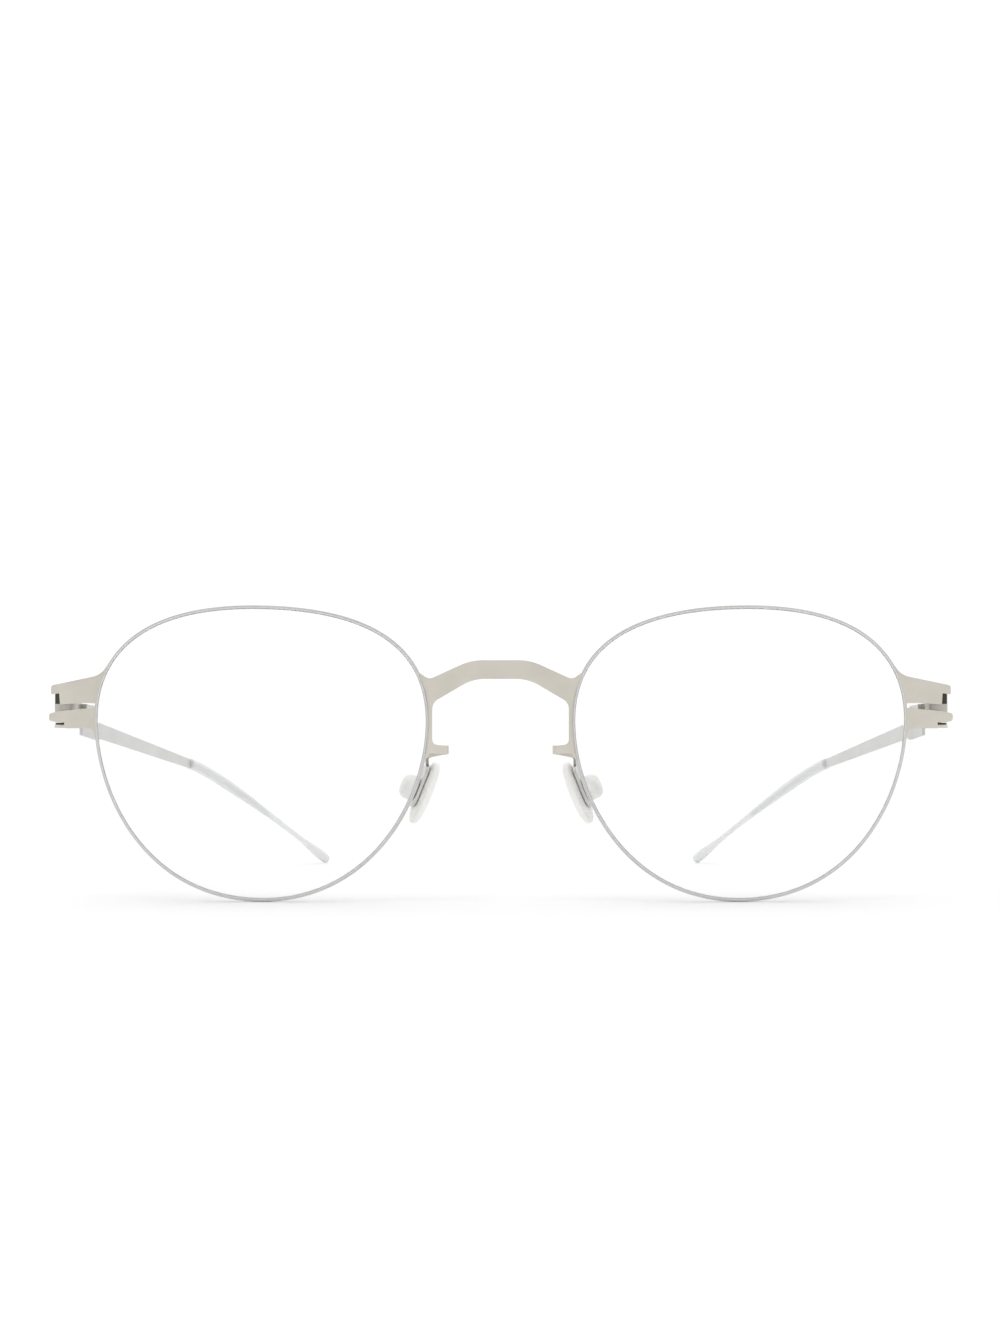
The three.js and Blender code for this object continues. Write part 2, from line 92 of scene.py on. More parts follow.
# The hinge: the roll, whose radius shrinks by its pitch with each turn, the tabs, the collar and the pins.
ROLL_BOTTOM = 26.6
ROLL_LINE_RADIUS = 1.55
ROLL_PITCH = 0.62
ROLL_TURNS = 1.1
WINDOW_BOTTOM, WINDOW_TOP = 29.3, 31
TAB_RADIUS = 1.85
UPPER_TAB_GAP = 0.15
LOWER_TAB_GAP = 0.4
LOWER_TAB_BOTTOM = ROLL_BOTTOM - LOWER_TAB_GAP - SHEET
LOWER_TAB_INNER, LOWER_TAB_OUTER = 62.9, 65.05
UPPER_TAB_HALF_WIDTH = 1.3
COLLAR_RADIUS = 1.7
COLLAR_TOP = LOWER_TAB_BOTTOM + SHEET + 0.3
PIN_RADIUS = 0.5
PIN_LENGTH = 1

# The pad arm and the nose pad.
PAD_ARM_HEIGHT = 1.25
PAD_ARM_REACH = 7.93
PAD_ARM_END = 11.05
PAD_ARM_RISE = 22.55
PAD_ARM_DROP = 2.6
PAD_ARM_TAPER = 0.35
PAD_TILT = math.radians(22.5)
PAD_SPLAY = math.radians(14)
PAD_CENTRE = Vector((12.3, 6.3, 17))
PLATE_WIDTH = 3.6
PLATE_LENGTH = 6.6
PLATE_HOLE = 0.95
BUTTON_DROP = 0.6
PAD_LONG, PAD_WIDE, PAD_THICK = 9.8, 6.6, 1.6
PAD_DROP = 0.6
PAD_EDGE_FULLNESS = 0.52
PAD_OUTLINE_FULLNESS = 0.5
PAD_WAIST = 0.08

# The temple and its tip: X and Y from the hinge line, with Y along the temple, and Z from the floor.
TOE_IN = math.radians(8.5)
TONGUE_PLACE = 12.8
TONGUE_BOTTOM, TONGUE_TOP = 27.4, 29.3
METAL_END = 81.6
BAR_TOP, BAR_BOTTOM = 19.75, 18.25
TIP_START = Vector((ROLL_LINE_RADIUS, METAL_END, (BAR_TOP + BAR_BOTTOM) / 2))
TIP_TURN = Vector((ROLL_LINE_RADIUS, 104, 16.7))
TIP_END = Vector((-11.7, 132.4, 0.4))

# The sleeve, with its places as shares of the tip's bent line: it slims from its mouth and ends in a bulb.
CORE_SHARE = 0.62
CORE_THICKNESS = 0.3
BORE_ROOM = 0.16
SLEEVE_MOUTH, SLEEVE_START, SLEEVE_END = 0.004, 0.007, 0.985
MOUTH_RADIUS, NECK_RADIUS = 0.88, 0.45
SLIM_FROM, SLIM_TO = 0.3, 0.78
BULB_SWELLING, BULB_SHARE, BULB_SPREAD = 0.4, 0.955, 0.075
CAP_SHARE = 0.013

# The studio: how bright it is behind the glasses, on the camera's side of them, and there towards -X.
BACKDROP_LIGHT = 1.07
FRONT_LIGHT = 0.9
LEFT_LIGHT = 0.78

# The camera, in metres: its place, and the X that its picture is centred on.
CAMERA_DISTANCE = 0.55
CAMERA_HEIGHT = 0.0299
CAMERA_SIDE = 0.008
PICTURE_MIDDLE = -0.00008


# Points and curves.

def mix(a, b, share):
    return a + (b - a) * share


def smoothstep(value, low, high):
    share = min(max((value - low) / (high - low), 0), 1)
    return share * share * (3 - 2 * share)


def wrap_depth(x):
    """How far back the front bends at a distance from its middle."""
    past = max(abs(x) - FLAT_HALF_WIDTH, 0)
    return past * past / (2 * WRAP_RADIUS)


def cubic(a, b, c, d, share):
    rest = 1 - share
    return a * rest ** 3 + 3 * b * rest ** 2 * share + 3 * c * rest * share ** 2 + d * share ** 3


def rim_line():
    """The rim's centre line in X and Z, clockwise from the nose side."""
    up, right = Vector((0, 1)), Vector((1, 0))
    quarters = [
        (NASAL, NASAL + up * NASAL_UP, TOP - right * TOP_IN, TOP),
        (TOP, TOP + right * TOP_OUT, TEMPORAL + up * TEMPORAL_UP, TEMPORAL),
        (TEMPORAL, TEMPORAL - up * TEMPORAL_DOWN, BOTTOM + right * BOTTOM_OUT, BOTTOM),
        (BOTTOM, BOTTOM - right * BOTTOM_IN, NASAL - up * NASAL_DOWN, NASAL),
    ]
    return [cubic(*quarter, i / RIM_STEPS) for quarter in quarters for i in range(RIM_STEPS)]


def rim_offset(distance):
    """The rim's centre line moved away from the lens by a distance."""
    line = rim_line()
    shifted = []
    for i, point in enumerate(line):
        along = (line[(i + 1) % len(line)] - line[i - 1]).normalized()
        shifted.append(point + Vector((-along.y, along.x)) * distance)
    return shifted


def rim_arc(start, end):
    """The rim's outer edge, clockwise between two angles in degrees about the lens centre."""
    arc = []
    for point in rim_offset(RIM_WIDTH / 2):
        angle = math.degrees(math.atan2(point.y - LENS_CENTRE.y, point.x - LENS_CENTRE.x))
        while angle > start:
            angle -= 360
        if angle >= end:
            arc.append((angle, point))
    arc.sort(key=lambda item: -item[0])
    return [point for angle, point in arc]


def softened(corners, steps=7):
    """A line through corners (x, y, radius), with each corner rounded over its radius."""
    line = []
    for i, (x, y, radius) in enumerate(corners):
        corner = Vector((x, y))
        if radius == 0:
            line.append(corner)
            continue
        before = Vector(corners[i - 1][:2]) - corner
        after = Vector(corners[(i + 1) % len(corners)][:2]) - corner
        start = corner + before.normalized() * min(radius, before.length * 0.49)
        end = corner + after.normalized() * min(radius, after.length * 0.49)
        for step in range(steps + 1):
            share = step / steps
            line.append(mix(mix(start, corner, share), mix(corner, end, share), share))
    return line


def circle(x, y, radius, steps=40):
    ring = []
    for i in range(steps):
        angle = i * (2 * math.pi / steps)
        ring.append(Vector((x + radius * math.cos(angle), y + radius * math.sin(angle))))
    return ring


# Meshes, made in millimetres and scaled at the end.

def object_from(mesh, name):
    made = bpy.data.objects.new(name, mesh)
    bpy.context.scene.collection.objects.link(made)
    return made


def face_out(mesh):
    """Merges points that meet, and turns every face outwards."""
    work = bmesh.new()
    work.from_mesh(mesh)
    bmesh.ops.remove_doubles(work, verts=work.verts, dist=1e-5)
    bmesh.ops.recalc_face_normals(work, faces=work.faces)
    work.to_mesh(mesh)
    work.free()


def flat_part(outlines, thickness, edge_round=EDGE_ROUND):
    """A flat plate in X and Y with rounded edges; the first outline is its edge, the others are holes."""
    curve = bpy.data.curves.new("outline", "CURVE")
    curve.dimensions = "2D"
    curve.fill_mode = "BOTH"
    curve.extrude = thickness / 2 - edge_round
    curve.bevel_depth = edge_round
    curve.bevel_resolution = 2
    curve.offset = -edge_round
    for outline in outlines:
        spline = curve.splines.new("POLY")
        spline.points.add(len(outline) - 1)
        for point, place in zip(spline.points, outline):
            point.co = (place.x, place.y, 0, 1)
        spline.use_cyclic_u = True
    holder = object_from(curve, "outline")
    made = object_from(evaluated_mesh(holder), "plate")
    bpy.data.objects.remove(holder)
    face_out(made.data)
    return made


def evaluated_mesh(holder):
    graph = bpy.context.evaluated_depsgraph_get()
    return bpy.data.meshes.new_from_object(holder.evaluated_get(graph), depsgraph=graph)


def loft(rings):
    """A closed skin over rings of equal point count, with a fan over each end."""
    count = len(rings[0])
    points = [point for ring in rings for point in ring]
    faces = []
    for ring in range(len(rings) - 1):
        for side in range(count):
            here = ring * count + side
            beside = ring * count + (side + 1) % count
            faces.append((here, beside, beside + count, here + count))
    for ring in (0, len(rings) - 1):
        hub = len(points)
        points.append(sum(rings[ring], Vector()) / count)
        for side in range(count):
            faces.append((hub, ring * count + side, ring * count + (side + 1) % count))
    mesh = bpy.data.meshes.new("loft")
    mesh.from_pydata([tuple(point) for point in points], [], faces)
    face_out(mesh)
    return object_from(mesh, "loft")


def moved(piece, matrix):
    piece.data.transform(matrix)
    return piece


def combined(base, others, operation):
    """Joins or cuts closed meshes, and leaves one closed mesh."""
    for other in others:
        change = base.modifiers.new("combine", "BOOLEAN")
        change.operation = operation
        change.solver = "MANIFOLD"
        change.object = other
        mesh = evaluated_mesh(base)
        base.modifiers.clear()
        base.data = mesh
        bpy.data.objects.remove(other)
    return base


def in_frame(side):
    """From these millimetres to the frame's metres, mirrored for side -1."""
    return Matrix.Diagonal((side * MM, MM, MM, 1)) @ Matrix.Translation((0, BRIDGE_Y, 0))


def finished(piece, name, body, node, materials, side, sharp=SHARP_ANGLE, paint=None):
    """Names, paints, mirrors, scales and shades a piece, ties it to its body, and hides the frame's node
    that it replaces.
    """
    piece.name = name
    piece.data.name = name
    piece.data.materials.clear()
    for material in materials:
        piece.data.materials.append(material)
    work = bmesh.new()
    work.from_mesh(piece.data)
    for face in work.faces:
        face.material_index = paint(face) if paint else 0
    bmesh.ops.transform(work, matrix=in_frame(side), verts=work.verts)
    if side < 0:
        bmesh.ops.reverse_faces(work, faces=work.faces)
    bmesh.ops.dissolve_degenerate(work, edges=work.edges, dist=1e-8)
    for face in work.faces:
        face.smooth = True
    for edge in work.edges:
        edge.smooth = edge.calc_face_angle(0) < math.radians(sharp)
    work.to_mesh(piece.data)
    work.free()
    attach(piece, body)
    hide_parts(node)


def steadied(piece):
    """Keeps broad flat faces flat in shading, beside their rounded edges."""
    weighting = piece.modifiers.new("flat faces", "WEIGHTED_NORMAL")
    weighting.keep_sharp = True
    weighting.weight = 80


# Materials.

class Nodes:
    """A short way to build a node tree, whose noise is mostly between NOISE_LOW and NOISE_HIGH."""

    NOISE_LOW, NOISE_HIGH = 0.3, 0.7

    def __init__(self, name):
        self.material = bpy.data.materials.new(name)
        self.material.use_nodes = True
        self.tree = self.material.node_tree
        self.shader = self.tree.nodes["Principled BSDF"]
        self.output = self.tree.nodes["Material Output"]
        self.place = self.add("ShaderNodeTexCoord").outputs["Object"]

    def add(self, kind, **settings):
        node = self.tree.nodes.new(kind)
        for key, value in settings.items():
            setattr(node, key, value)
        return node

    def link(self, source, target):
        self.tree.links.new(source, target)

    def noise(self, scale, stretch=(1, 1, 1), detail=2):
        spread = self.add("ShaderNodeMapping")
        spread.inputs["Scale"].default_value = stretch
        self.link(self.place, spread.inputs["Vector"])
        texture = self.add("ShaderNodeTexNoise")
        texture.inputs["Scale"].default_value = scale
        texture.inputs["Detail"].default_value = detail
        self.link(spread.outputs["Vector"], texture.inputs["Vector"])
        return texture.outputs["Fac"]

    def ranged(self, source, low, high):
        change = self.add("ShaderNodeMapRange")
        change.inputs["From Min"].default_value = self.NOISE_LOW
        change.inputs["From Max"].default_value = self.NOISE_HIGH
        change.inputs["To Min"].default_value = low
        change.inputs["To Max"].default_value = high
        self.link(source, change.inputs["Value"])
        return change.outputs["Result"]

    def blended(self, source, first, second):
        ramp = self.add("ShaderNodeValToRGB")
        ramp.color_ramp.elements[0].position = self.NOISE_LOW
        ramp.color_ramp.elements[1].position = self.NOISE_HIGH
        ramp.color_ramp.elements[0].color = (*first, 1)
        ramp.color_ramp.elements[1].color = (*second, 1)
        self.link(source, ramp.inputs["Fac"])
        return ramp.outputs["Color"]

    def color(self, source, first, second):
        self.link(self.blended(source, first, second), self.shader.inputs["Base Color"])

    def roughness(self, source, low, high):
        self.link(self.ranged(source, low, high), self.shader.inputs["Roughness"])

    def bump(self, source, strength, depth_mm):
        relief = self.add("ShaderNodeBump")
        relief.inputs["Strength"].default_value = strength
        relief.inputs["Distance"].default_value = depth_mm * MM
        self.link(source, relief.inputs["Height"])
        self.link(relief.outputs["Normal"], self.shader.inputs["Normal"])

    def clear_to_lamps(self, tint):
        """Lets the light of the lamps through, as clear plastic does."""
        path = self.add("ShaderNodeLightPath")
        through = self.add("ShaderNodeBsdfTransparent")
        through.inputs["Color"].default_value = (*tint, 1)
        chooser = self.add("ShaderNodeMixShader")
        self.link(path.outputs["Is Shadow Ray"], chooser.inputs[0])
        self.link(self.shader.outputs[0], chooser.inputs[1])
        self.link(through.outputs[0], chooser.inputs[2])
        self.link(chooser.outputs[0], self.output.inputs["Surface"])


def steel(name, darker, lighter):
    """Blasted sheet steel: a fine grain over faint clouds of two tones."""
    nodes = Nodes(name)
    grain = nodes.noise(5200, detail=3)
    cloud = nodes.noise(160, detail=2)
    nodes.color(cloud, darker, lighter)
    nodes.roughness(grain, 0.33, 0.47)
    nodes.bump(grain, 0.22, 0.02)
    nodes.shader.inputs["Metallic"].default_value = 1
    return nodes.material


def steels():
    """The tones of the front's steel, and of copies of it painted for light and shade: on its rims, the
    temples, the rolls and the hinge's hollows.
    """
    return {
        "warm": steel("warm_steel", (0.62, 0.588, 0.522), (0.68, 0.65, 0.585)),
        # The rims' copy is painted more neutral, a painted reflection of the white studio in the thin rims.
        "rim": steel("painted_reflection_rim_steel", (0.61, 0.602, 0.582), (0.67, 0.66, 0.64)),
        # The temples' copy is painted darker and more neutral: painted shade, and painted reflection of the
        # white studio.
        "grey": steel("painted_shade_temple_steel", (0.56, 0.557, 0.545), (0.62, 0.617, 0.605)),
        # Painted shade: the roll and the stop tongue, which lie in shade behind the front's arms.
        "rolled": steel("painted_shade_roll_steel", (0.44, 0.415, 0.37), (0.5, 0.475, 0.43)),
        # Painted shade, near black: the hinge's hollows, what is seen through the roll's window, and the
        # collar in the slit under the lower arm.
        "painted_shade": steel("painted_shade_steel", (0.05, 0.045, 0.036), (0.09, 0.082, 0.068)),
    }


def lens_plastic():
    """Clear plastic with a very faint film."""
    nodes = Nodes("lens_plastic")
    film = nodes.noise(90)
    nodes.color(film, (0.985, 0.99, 0.99), (1, 1, 1))
    nodes.roughness(film, 0, 0.01)
    nodes.shader.inputs["Transmission Weight"].default_value = 1
    nodes.shader.inputs["IOR"].default_value = 1.49
    nodes.clear_to_lamps((0.72, 0.72, 0.72))
    return nodes.material


def ground_edge():
    """The lens's edge, ground to a pale matt."""
    nodes = Nodes("ground_lens_edge")
    scratches = nodes.noise(2600, stretch=(1, 4, 1))
    nodes.color(scratches, (0.73, 0.735, 0.73), (0.82, 0.825, 0.82))
    nodes.roughness(scratches, 0.4, 0.6)
    nodes.bump(scratches, 0.3, 0.02)
    nodes.shader.inputs["Transmission Weight"].default_value = 0.3
    nodes.shader.inputs["IOR"].default_value = 1.49
    nodes.clear_to_lamps((0.2, 0.2, 0.2))
    return nodes.material


def silicone():
    """Soft clear rubber, pale and satin."""
    nodes = Nodes("silicone")
    cloud = nodes.noise(420)
    skin = nodes.noise(3800)
    nodes.color(cloud, (0.965, 0.96, 0.935), (0.985, 0.98, 0.955))
    nodes.roughness(skin, 0.3, 0.42)
    nodes.bump(skin, 0.1, 0.02)
    nodes.shader.inputs["Transmission Weight"].default_value = 0.1
    nodes.shader.inputs["IOR"].default_value = 1.41
    nodes.clear_to_lamps((0.7, 0.7, 0.7))
    return nodes.material


def sleeve_plastic():
    """Milky plastic, through which the steel core shows faintly."""
    nodes = Nodes("sleeve_plastic")
    cloud = nodes.noise(300)
    skin = nodes.noise(900)
    nodes.color(cloud, (0.785, 0.80, 0.79), (0.80, 0.812, 0.803))
    nodes.roughness(skin, 0.4, 0.43)
    nodes.shader.inputs["Alpha"].default_value = 0.7
    nodes.shader.inputs["IOR"].default_value = 1.4
    return nodes.material


# The front.

def front_outline():
    """The edge of the whole front in X and Z: the +X half, clockwise from the bridge, then its mirror."""
    bridge_top = [(0, 35.8, 0), (4.38, 35.8, 1.75), (10.6, 32.95, 0.75)]
    upper_arm = [
        (59.6, 33.62, 1.3),
        (67.1, 32.08, 0.45),
        (67.1, 30.7, 0.22),
        (65.85, 30.9, 0.16),
        (65.75, 29.2, 0.12),
        (62.2, 29.45, 0.5),
    ]
    lower_arm = [
        (65.4, 28.3, 0.6),
        (67.4, 27.9, 0.4),
        (67.4, 26.72, 0.5),
        (65.1, 26.6, 0.1),
        (65.1, LOWER_TAB_BOTTOM, 0.08),
        (LOWER_TAB_INNER, LOWER_TAB_BOTTOM, 0.5),
        (60.75, 25.65, 0.8),
    ]
    nose_side = [
        (10.75, 22.05, 0.9),
        (8.5, PAD_ARM_RISE - PAD_ARM_HEIGHT / 2, 0),
        (8.5, PAD_ARM_RISE + PAD_ARM_HEIGHT / 2, 0),
        (10.1, 23.35, 0.75),
        (10.1, 29.48, 1.0),
        (4.09, 33, 1.8),
        (0, 33, 0),
    ]
    top_rim = rim_arc(153.5, 30)
    gap_rim = rim_arc(16.9, 14.6)
    low_rim = rim_arc(5.5, -177.4)
    half = between(None, bridge_top, top_rim[0]) + top_rim
    half += between(top_rim[-1], upper_arm, gap_rim[0]) + gap_rim
    half += between(gap_rim[-1], lower_arm, low_rim[0]) + low_rim
    half += between(low_rim[-1], nose_side, None)
    return half + [Vector((-point.x, point.y)) for point in reversed(half[1:-1])]


def between(before, corners, after):
    """Rounded corners between two neighbouring points, which are left out."""
    ends = [[(point.x, point.y, 0)] if point is not None else [] for point in (before, after)]
    line = softened(ends[0] + corners + ends[1])
    return line[len(ends[0]):len(line) - len(ends[1])]


def split_at(work, place, normal):
    """Adds edges where a plane crosses a mesh, so that it can bend or change its paint there."""
    everything = work.verts[:] + work.edges[:] + work.faces[:]
    bmesh.ops.bisect_plane(work, geom=everything, plane_co=place, plane_no=normal)


def wrapped_sheet():
    """The front's sheet, standing up, with its lens holes and its face form."""
    hole = rim_offset(-RIM_WIDTH / 2)
    holes = [[Vector((side * point.x, point.y)) for point in hole] for side in (1, -1)]
    sheet = flat_part([front_outline(), *holes], SHEET)
    moved(sheet, Matrix.Rotation(math.pi / 2, 4, "X"))
    work = bmesh.new()
    work.from_mesh(sheet.data)
    place = FLAT_HALF_WIDTH
    while place < HINGE.x + 3:
        for side in (1, -1):
            split_at(work, (side * place, 0, 0), (1, 0, 0))
        place += BEND_STEP
    for height in (STRIP_FOOT, ARMS_FOOT, ARMS_HEAD):
        split_at(work, (0, 0, height), (0, 0, 1))
    for vertex in work.verts:
        vertex.co.y += wrap_depth(vertex.co.x)
    work.to_mesh(sheet.data)
    work.free()
    return sheet


def pivot_disc(radius, bottom, top, edge_round=0.05):
    disc = flat_part([circle(HINGE.x, HINGE.y, radius, 64)], top - bottom, edge_round)
    return moved(disc, Matrix.Translation((0, 0, (bottom + top) / 2)))


def hinge_tab(bottom, inner, outer):
    """A tab that is folded back over one end of the roll."""
    root = wrap_depth(HINGE.x)
    end = HINGE.y + 0.2
    tongue = [(inner, root, 0), (outer, root, 0), (outer, end, 0.1), (inner, end, 0.1)]
    plate = flat_part([softened(tongue)], SHEET, 0.04)
    moved(plate, Matrix.Translation((0, 0, bottom + SHEET / 2)))
    return combined(plate, [pivot_disc(TAB_RADIUS, bottom + 0.002, bottom + SHEET - 0.002)], "UNION")


def hinge_tabs():
    """Each tab has a pin that reaches into the roll's bore; the lower one has a collar under the roll."""
    upper_pin = pivot_disc(PIN_RADIUS, ROLL_TOP - PIN_LENGTH, ROLL_TOP + UPPER_TAB_GAP + SHEET / 2)
    lower_pin = pivot_disc(PIN_RADIUS, LOWER_TAB_BOTTOM + SHEET / 2, ROLL_BOTTOM + PIN_LENGTH)
    collar = pivot_disc(COLLAR_RADIUS, LOWER_TAB_BOTTOM + SHEET / 2, COLLAR_TOP)
    inner, outer = HINGE.x - UPPER_TAB_HALF_WIDTH, HINGE.x + UPPER_TAB_HALF_WIDTH
    upper = hinge_tab(ROLL_TOP + UPPER_TAB_GAP, inner, outer)
    lower = hinge_tab(LOWER_TAB_BOTTOM, LOWER_TAB_INNER, LOWER_TAB_OUTER)
    return [combined(upper, [upper_pin], "UNION"), combined(lower, [lower_pin, collar], "UNION")]


def pad_arm_plan():
    """The pad arm's centre line in plan: to the nose, back, outwards behind the rim, into the plate."""
    root = wrap_depth(9)
    corners = [
        (9, root, 0),
        (PAD_ARM_REACH, root, 0.7),
        (PAD_ARM_REACH, 3.7, 0.8),
        (PAD_ARM_END, 3.7, 0.7),
        (PAD_ARM_END, PAD_CENTRE.y + 0.8, 0),
    ]
    return softened(corners, steps=10)


def rounded_box(width, height, radius, steps=4):
    """Points (right, up) round a rectangle with rounded corners, anticlockwise."""
    right = width / 2 - radius
    up = height / 2 - radius
    corners = [(right, up, 0), (-right, up, 90), (-right, -up, 180), (right, -up, 270)]
    ring = []
    for x, y, turn in corners:
        for step in range(steps + 1):
            angle = math.radians(turn + 90 * step / steps)
            ring.append((x + radius * math.cos(angle), y + radius * math.sin(angle)))
    return ring


def pad_arm():
    """The strip that follows the plan, sinks and slims towards the plate."""
    plan = pad_arm_plan()
    lengths = [0]
    for before, after in zip(plan, plan[1:]):
        lengths.append(lengths[-1] + (after - before).length)
    rings = []
    for i, spot in enumerate(plan):
        along = (plan[min(i + 1, len(plan) - 1)] - plan[max(i - 1, 0)]).normalized()
        across = Vector((-along.y, along.x, 0))
        share = lengths[i] / lengths[-1]
        middle = Vector((spot.x, spot.y, PAD_ARM_RISE - PAD_ARM_DROP * share ** 3))
        height = PAD_ARM_HEIGHT * (1 - PAD_ARM_TAPER * share * share)
        section = rounded_box(SHEET - 0.01, height, EDGE_ROUND)
        rings.append([middle + across * right + Vector((0, 0, rise)) for right, rise in section])
    return loft(rings)


def pad_place():
    """Where a pad and its plate stand: tilted and splayed towards the sides of the nose."""
    splayed = Matrix.Rotation(-PAD_SPLAY, 4, "Z") @ Matrix.Rotation(-PAD_TILT, 4, "Y")
    return Matrix.Translation(PAD_CENTRE) @ splayed


def standing_on_x():
    """Turns a plate in X and Y so that its X points back, its Y up and its thickness outwards."""
    return Matrix(((0, 0, 1, 0), (1, 0, 0, 0), (0, 1, 0, 0), (0, 0, 0, 1)))


def pad_plate():
    """A round-ended plate with the hole that the pad's neck goes through."""
    half = PLATE_WIDTH / 2
    reach = PLATE_LENGTH / 2
    corners = [(half, reach, half), (-half, reach, half), (-half, -reach, half), (half, -reach, half)]
    plate = flat_part([softened(corners, steps=12), circle(0, -BUTTON_DROP, PLATE_HOLE)], SHEET)
    return moved(plate, pad_place() @ standing_on_x())


def mirrored_copy(piece):
    """The same piece on the -X side."""
    copy = object_from(piece.data.copy(), "mirror")
    copy.data.transform(Matrix.Diagonal((-1, 1, 1, 1)))
    copy.data.flip_normals()
    return copy


def in_roll(face):
    """Whether a face is one of the hidden ones round the hinge line, inside the roll or under it, which get
    painted shade.
    """
    centre = face.calc_center_median()
    side = math.copysign(1, centre.x)
    outwards = Vector((side * centre.x - HINGE.x, centre.y - HINGE.y))
    normal = Vector((side * face.normal.x, face.normal.y))
    inside = outwards.length < 1.45 and outwards.dot(normal) < -0.05
    under = ROLL_BOTTOM - LOWER_TAB_GAP - 0.01 < centre.z < COLLAR_TOP + 0.01
    collar = outwards.length < COLLAR_RADIUS + 0.1 and under
    return inside or collar


def in_window(face):
    """Whether a face is seen through the roll's window, and so gets painted shade: the inner turn, or one of
    the cut edges.
    """
    centre = face.calc_center_median()
    outwards = Vector((centre.x - HINGE.x, centre.y - HINGE.y))
    inner_turn = outwards.length < 1.2 and abs(face.normal.z) < 0.5
    cut = centre.z > 29.2 and outwards.length < 2.1 and -1 < outwards.y < 0 and face.normal.y < -0.9
    return inner_turn or cut


def front_paint(face):
    """The coat of a face: 2, painted shade, inside the hinge, 1, rim, with painted reflection, on the rims,
    or 0, warm, on the broad parts.
    """
    centre = face.calc_center_median()
    if in_roll(face):
        return 2
    beside_arms = abs(centre.x) > RIM_INNER and not ARMS_FOOT < centre.z < ARMS_HEAD
    on_rim = centre.z < STRIP_FOOT or beside_arms or RIM_INNER < abs(centre.x) < RIM_OUTER
    return 1 if on_rim else 0


def build_front(steels):
    """The whole front: one sheet with its hinge tabs, pins, pad arms and pad plates."""
    half = [*hinge_tabs(), combined(pad_arm(), [pad_plate()], "UNION")]
    both = half + [mirrored_copy(piece) for piece in half]
    front = combined(wrapped_sheet(), both, "UNION")
    coats = [steels["warm"], steels["rim"], steels["painted_shade"]]
    finished(front, "front_sheet", "front", "front_frame", coats, 1, paint=front_paint)
    steadied(front)


# The lenses.

def build_lens(word, mirror, clear, ground):
    """A curved lens, as one skin of rings: its front, its edge with the rim's groove, and its back."""
    groove = SHEET / 2 + FIT_GAP
    lip = rim_offset(-LIP_SETBACK)
    floor = rim_offset(-RIM_WIDTH / 2 - FIT_GAP)

    def ring(outline, scale, offset):
        points = []
        for point in outline:
            spot = LENS_CENTRE + (point - LENS_CENTRE) * scale
            depth = wrap_depth(spot.x) + offset - LENS_BULGE * (1 - scale * scale)
            points.append(Vector((spot.x, depth, spot.y)))
        return points

    scales = [0.012 + 0.968 * i / 16 for i in range(17)] + [0.992]
    edge = [
        (lip, 0.9985, 1, 0.02),
        (lip, 1, 1, 0.1),
        (lip, 1, 0, 0.02),
        (lip, 1, 0, 0),
        (floor, 1, 0, 0),
    ]
    rings = []
    for sign in (-1, 1):
        half = [ring(lip, scale, sign * LENS_HALF) for scale in scales]
        for outline, scale, at_face, inset in edge:
            depth = (LENS_HALF - inset) if at_face else (groove + inset)
            half.append(ring(outline, scale, sign * depth))
        rings += half if sign < 0 else half[::-1]
    piece = loft(rings)
    first = len(scales) * len(lip)
    last = (len(rings) - len(scales)) * len(lip)

    def edge_paint(face):
        """The coat of a face: 1, ground, on the lens's edge, or 0, clear, on its front and back."""
        corners = [vertex.index for vertex in face.verts]
        return 1 if min(corners) >= first - len(lip) and max(corners) < last + len(lip) else 0

    coats = [clear, ground]
    name, node = f"clear_lens_{word}", f"lens_{word}"
    finished(piece, name, "front", node, coats, mirror, 25, edge_paint)


# The nose pads.

def build_nose_pad(word, side, rubber):
    """A soft pad on the nose side of its plate, and a neck and a button behind the plate's hole."""
    seat = SHEET / 2 + FIT_GAP
    steps = 64
    turn = 2 * math.pi / steps
    around = [Vector((math.cos(i * turn), math.sin(i * turn))) for i in range(steps)]

    def ring(depth, half_width, half_height, drop):
        return [Vector((depth, spot.x * half_width, spot.y * half_height - drop)) for spot in around]

    rings = []
    rounds = 22
    for i in range(rounds - 1):
        angle = math.pi * (i + 0.35) / rounds
        thick = math.copysign(abs(math.cos(angle)) ** PAD_EDGE_FULLNESS, math.cos(angle))
        across = math.sin(angle) ** PAD_OUTLINE_FULLNESS
        depth = -seat - PAD_THICK / 2 * (1 + thick)
        waist = 1 - PAD_WAIST * thick
        rings.append(ring(depth, PAD_WIDE / 2 * across * waist, PAD_LONG / 2 * across, PAD_DROP))
    rings.append(ring(-seat - 0.02, 1.05, 1.05, BUTTON_DROP))
    profile = [
        (0.86, -seat + 0.05),
        (0.8, -seat + 0.14),
        (0.8, seat - 0.1),
        (0.86, seat - 0.01),
        (1.45, seat + 0.01),
        (1.7, seat + 0.07),
        (1.84, seat + 0.25),
        (1.9, seat + 0.7),
        (1.88, seat + 1.15),
        (1.78, seat + 1.58),
        (1.55, seat + 1.94),
        (1.18, seat + 2.18),
        (0.68, seat + 2.29),
        (0.2, seat + 2.3),
    ]
    rings += [ring(depth, radius, radius, BUTTON_DROP) for radius, depth in profile]
    piece = moved(loft(rings), pad_place())
    name, node = f"silicone_pad_{word}", f"nose_pad_{word}"
    finished(piece, name, "front", node, [rubber], side, 60)


# The temples.

def temple_place():
    """From the temple's own place to the front's: at the hinge line, with the toe-in."""
    turned = Matrix.Rotation(TOE_IN, 4, "Z")
    return Matrix.Translation((HINGE.x, HINGE.y, 0)) @ turned


